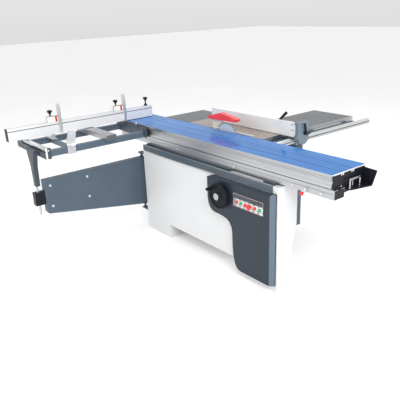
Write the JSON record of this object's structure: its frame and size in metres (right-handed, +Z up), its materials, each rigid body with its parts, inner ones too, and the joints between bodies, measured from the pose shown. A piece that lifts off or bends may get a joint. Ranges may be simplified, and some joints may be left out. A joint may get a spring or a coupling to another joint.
{
  "type": "panel saw",
  "caption": "Sliding-table panel saw: steel cabinet, long sliding table on a rail, outrigger with crosscut fence and flip stops, rip fence on a bar, tilting saw unit and guard.",
  "frame": {"origin": "on the floor, directly under the plane of the saw blade and at the middle of the front cabinet's length", "axes": "+X along the sliding table towards its operator end, +Y from the sliding table towards the rip fence, +Z up"},
  "size_m": [2.377, 2.377, 1.096],
  "materials": {
    "white_paint": "powder coated",
    "dark_paint": "powder coated",
    "grey_paint": "powder coated",
    "aluminium": "anodised, extruded",
    "aluminium_plate": "brushed",
    "steel": "ground",
    "chrome": "polished",
    "cast_iron": "planed and oiled",
    "dark_iron": "painted casting",
    "black_plastic": "moulded",
    "black_gloss": "moulded",
    "blue_film": "glossy",
    "red_plastic": "moulded",
    "red_button": "moulded",
    "green_button": "moulded",
    "lever_red": "painted"
  },
  "bodies": {
    "base": {"front_cabinet": "white_paint", "rear_housing": "white_paint", "trim_band": "dark_paint", "control_cover": "dark_paint", "panel_plate": "aluminium_plate", "arm_brackets": "dark_paint", "rail_beam": "aluminium", "rail_caps": "black_plastic", "rail_bolts": "steel", "main_table": "cast_iron", "throat_plate": "aluminium_plate", "mount_blocks": "dark_paint", "rear_table": "dark_paint", "ext_table": "dark_paint", "ext_edge": "aluminium", "support_rail": "grey_paint", "fence_bar": "chrome", "rear_ports": "black_plastic"},
    "table": {"table_extrusion": "aluminium", "table_film": "blue_film", "table_caps": "black_plastic", "end_scoop": "black_plastic", "bail_handle": "chrome", "frame_tubes": "grey_paint", "frame_fittings": "dark_paint", "frame_slat": "aluminium", "frame_strap": "aluminium_plate"},
    "roller_carriage": {"carriage": "dark_paint"},
    "support_roller": {"frame_roller": "steel"},
    "crosscut_fence": {"fence_profile": "aluminium"},
    "end_knob": {"clamp_knob": "black_plastic"},
    "stop_block_a": {"stop_a": "aluminium_plate"},
    "stop_flipper_a": {"flipper_a": "aluminium_plate"},
    "stop_knob_a": {"knob_a": "black_plastic"},
    "stop_block_b": {"stop_b": "aluminium_plate"},
    "stop_flipper_b": {"flipper_b": "aluminium_plate"},
    "stop_knob_b": {"knob_b": "black_plastic"},
    "outrigger_arm": {"swing_arm": "grey_paint"},
    "inner_arm": {"arm_block": "black_plastic", "arm_rod": "steel"},
    "tilt_unit": {"saw_carriage": "dark_iron"},
    "rise_unit": {"rise_slide": "dark_iron", "riving_knife": "steel"},
    "main_blade": {"saw_blade": "steel", "arbor": "steel"},
    "scoring_spindle": {"scoring_blade": "steel"},
    "blade_guard": {"guard_hood": "red_plastic"},
    "rise_wheel": {"handwheel": "black_gloss", "wheel_hub": "chrome"},
    "push_a": {"button_a": "red_button"},
    "push_b": {"button_b": "green_button"},
    "push_c": {"button_c": "red_button"},
    "push_stop": {"button_stop": "red_button"},
    "push_d": {"button_d": "red_button"},
    "push_e": {"button_e": "green_button"},
    "table_lock": {"lock_lever": "lever_red"},
    "fence_head": {"head_casting": "grey_paint"},
    "head_clamp": {"head_lever": "black_plastic"},
    "rip_fence_plate": {"rip_fence": "aluminium"},
    "fence_clamp": {"fence_lever": "black_plastic"}
  },
  "joints": [
    {"name": "table_slide", "type": "slide", "parent": "base", "child": "table", "axis": [1, 0, 0], "range_m": [-0.78, 0.78]},
    {"name": "carriage_roll", "type": "slide", "parent": "base", "child": "roller_carriage", "axis": [1, 0, 0], "range_m": [-0.39, 0.39]},
    {"name": "roller_spin", "type": "hinge", "parent": "table", "child": "support_roller", "pos_m": [-0.86, -1.16, 0.848], "axis": [1, 0, 0], "continuous": true},
    {"name": "mitre_swing", "type": "hinge", "parent": "table", "child": "crosscut_fence", "pos_m": [-1.012, -0.96, 0.874], "axis": [0, 0, 1], "range_deg": [-45, 45]},
    {"name": "end_knob_turn", "type": "hinge", "parent": "crosscut_fence", "child": "end_knob", "pos_m": [-1.0145, -0.11, 0.97], "axis": [0, 0, 1], "continuous": true},
    {"name": "stop_a_slide", "type": "slide", "parent": "crosscut_fence", "child": "stop_block_a", "axis": [0, 1, 0], "range_m": [-0.27, 0.42]},
    {"name": "stop_a_flip", "type": "hinge", "parent": "stop_block_a", "child": "stop_flipper_a", "pos_m": [-0.99, -0.903, 0.99], "axis": [0, -1, 0], "range_deg": [0, 90]},
    {"name": "stop_a_knob", "type": "hinge", "parent": "stop_block_a", "child": "stop_knob_a", "pos_m": [-1.012, -0.964, 1], "axis": [0, 0, 1], "continuous": true},
    {"name": "stop_b_slide", "type": "slide", "parent": "crosscut_fence", "child": "stop_block_b", "axis": [0, 1, 0], "range_m": [-0.11, 0.15]},
    {"name": "stop_b_flip", "type": "hinge", "parent": "stop_block_b", "child": "stop_flipper_b", "pos_m": [-0.99, -0.339, 0.99], "axis": [0, -1, 0], "range_deg": [0, 90]},
    {"name": "stop_b_knob", "type": "hinge", "parent": "stop_block_b", "child": "stop_knob_b", "pos_m": [-1.012, -0.4, 1], "axis": [0, 0, 1], "continuous": true},
    {"name": "arm_swing", "type": "hinge", "parent": "base", "child": "outrigger_arm", "pos_m": [-0.862, -0.285, 0.37], "axis": [0, 0, 1], "range_deg": [-46, 46]},
    {"name": "arm_extend", "type": "slide", "parent": "outrigger_arm", "child": "inner_arm", "axis": [0, -1, 0], "range_m": [0, 0.19]},
    {"name": "blade_tilt", "type": "hinge", "parent": "base", "child": "tilt_unit", "pos_m": [-0.08, 0, 0.87], "axis": [-1, 0, 0], "range_deg": [0, 45]},
    {"name": "blade_rise", "type": "slide", "parent": "tilt_unit", "child": "rise_unit", "axis": [0, 0, 1], "range_m": [-0.045, 0.01]},
    {"name": "blade_spin", "type": "hinge", "parent": "rise_unit", "child": "main_blade", "pos_m": [-0.099, 0, 0.81], "axis": [0, 1, 0], "continuous": true},
    {"name": "scoring_spin", "type": "hinge", "parent": "tilt_unit", "child": "scoring_spindle", "pos_m": [0.1, 0, 0.821], "axis": [0, 1, 0], "continuous": true},
    {"name": "guard_lift", "type": "hinge", "parent": "rise_unit", "child": "blade_guard", "pos_m": [-0.262, 0, 0.946], "axis": [0, -1, 0], "range_deg": [0, 30]},
    {"name": "wheel_turn", "type": "hinge", "parent": "base", "child": "rise_wheel", "pos_m": [0.261, -0.4, 0.557], "axis": [0, -1, 0], "range_deg": [-810, 180]},
    {"name": "press_a", "type": "slide", "parent": "base", "child": "push_a", "axis": [0, 1, 0], "range_m": [0, 0.003], "stiffness_N_per_m": 400},
    {"name": "press_b", "type": "slide", "parent": "base", "child": "push_b", "axis": [0, 1, 0], "range_m": [0, 0.003], "stiffness_N_per_m": 400},
    {"name": "press_c", "type": "slide", "parent": "base", "child": "push_c", "axis": [0, 1, 0], "range_m": [0, 0.003], "stiffness_N_per_m": 400},
    {"name": "press_stop", "type": "slide", "parent": "base", "child": "push_stop", "axis": [0, 1, 0], "range_m": [0, 0.003], "stiffness_N_per_m": 400},
    {"name": "press_d", "type": "slide", "parent": "base", "child": "push_d", "axis": [0, 1, 0], "range_m": [0, 0.003], "stiffness_N_per_m": 400},
    {"name": "press_e", "type": "slide", "parent": "base", "child": "push_e", "axis": [0, 1, 0], "range_m": [0, 0.003], "stiffness_N_per_m": 400},
    {"name": "lock_turn", "type": "hinge", "parent": "base", "child": "table_lock", "pos_m": [0.92, -0.312, 0.748], "axis": [0, -1, 0], "range_deg": [-60, 0]},
    {"name": "fence_cross", "type": "slide", "parent": "base", "child": "fence_head", "axis": [0, 1, 0], "range_m": [-0.055, 0.68]},
    {"name": "head_lock", "type": "hinge", "parent": "fence_head", "child": "head_clamp", "pos_m": [0.41, 0.262, 0.89], "axis": [1, 0, 0], "range_deg": [-60, 0]},
    {"name": "fence_run", "type": "slide", "parent": "fence_head", "child": "rip_fence_plate", "axis": [1, 0, 0], "range_m": [-0.3, 0.06]},
    {"name": "fence_lock", "type": "hinge", "parent": "fence_head", "child": "fence_clamp", "pos_m": [0.226, 0.216, 0.955], "axis": [0, 0, 1], "range_deg": [-90, 90]}
  ],
  "couplings": [
    {"joint": "carriage_roll", "follows": "table_slide", "ratio": 0.5},
    {"joint": "arm_swing", "follows": "table_slide", "rad_per_m": 1.0293},
    {"joint": "wheel_turn", "follows": "blade_rise", "rad_per_m": 314.16}
  ]
}
